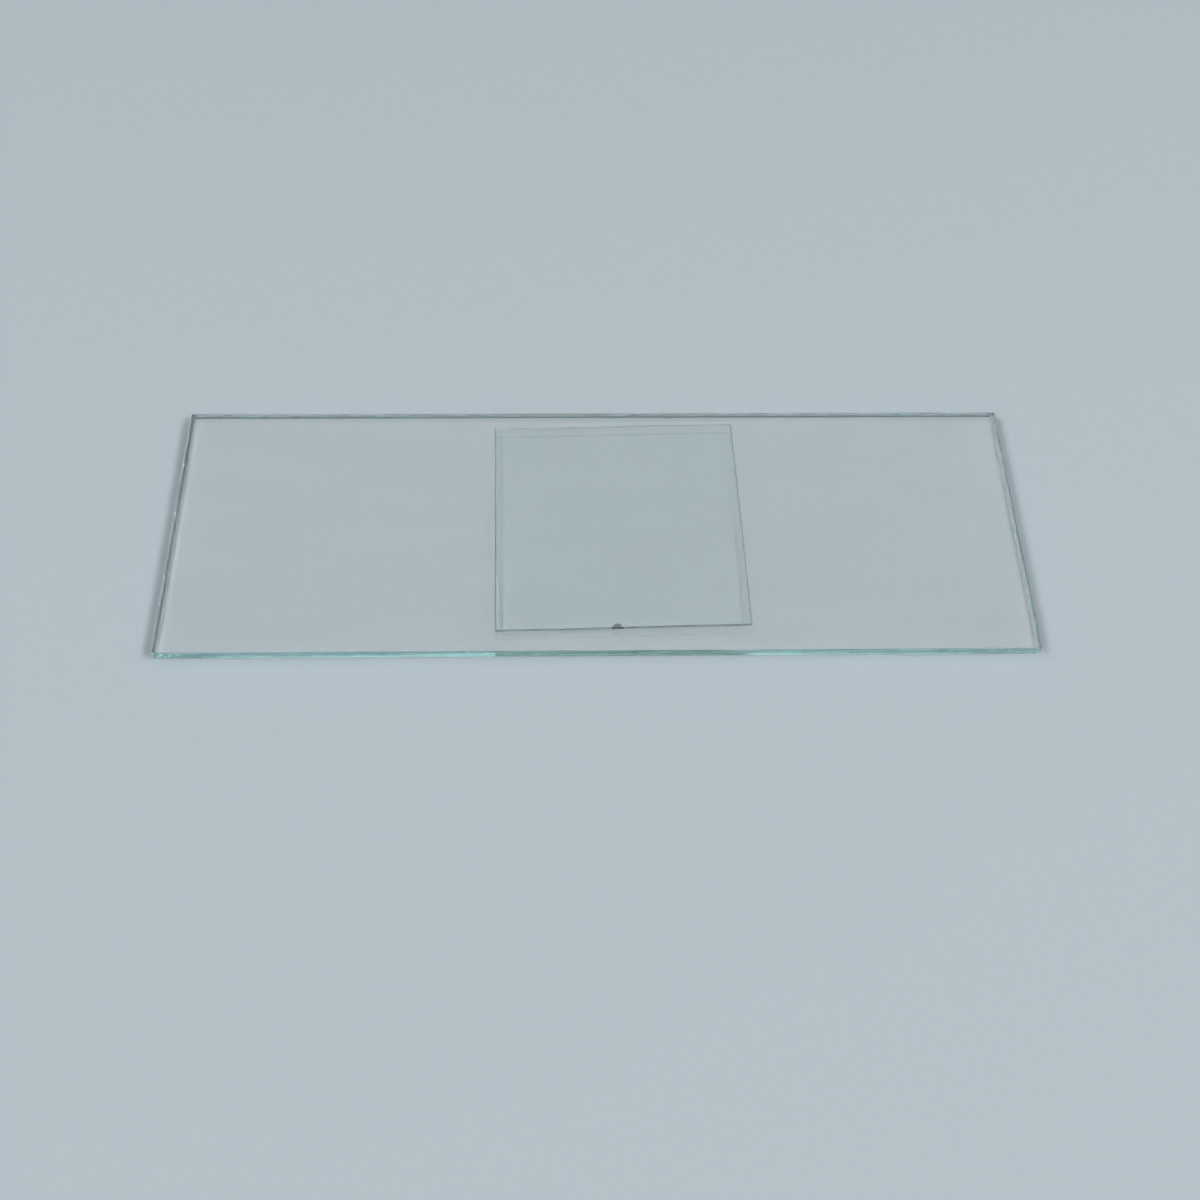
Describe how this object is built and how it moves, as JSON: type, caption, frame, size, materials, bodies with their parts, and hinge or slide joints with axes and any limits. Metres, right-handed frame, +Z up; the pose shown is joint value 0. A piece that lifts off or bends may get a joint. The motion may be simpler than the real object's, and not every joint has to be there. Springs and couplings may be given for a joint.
{
  "type": "mounted microscope slide",
  "caption": "Clear glass microscope slide with cut edges and a square cover slip mounted flat on its middle in clear resin.",
  "frame": {"origin": "centre of the slide's underside, which is the face that lies on a microscope stage", "axes": "+X along the slide's length, +Y across it towards the back edge, +Z up through the cover slip"},
  "size_m": [0.076, 0.026, 0.0013],
  "materials": {
    "slide_glass": "clear, fire-polished faces, teal-green seen through the cut edges",
    "clear_resin": "clear, very faintly yellow",
    "cover_glass": "clear, colourless"
  },
  "bodies": {
    "root": {"glass_slide": "slide_glass", "mounting_resin": "clear_resin", "cover_slip": "cover_glass"}
  },
  "joints": []
}
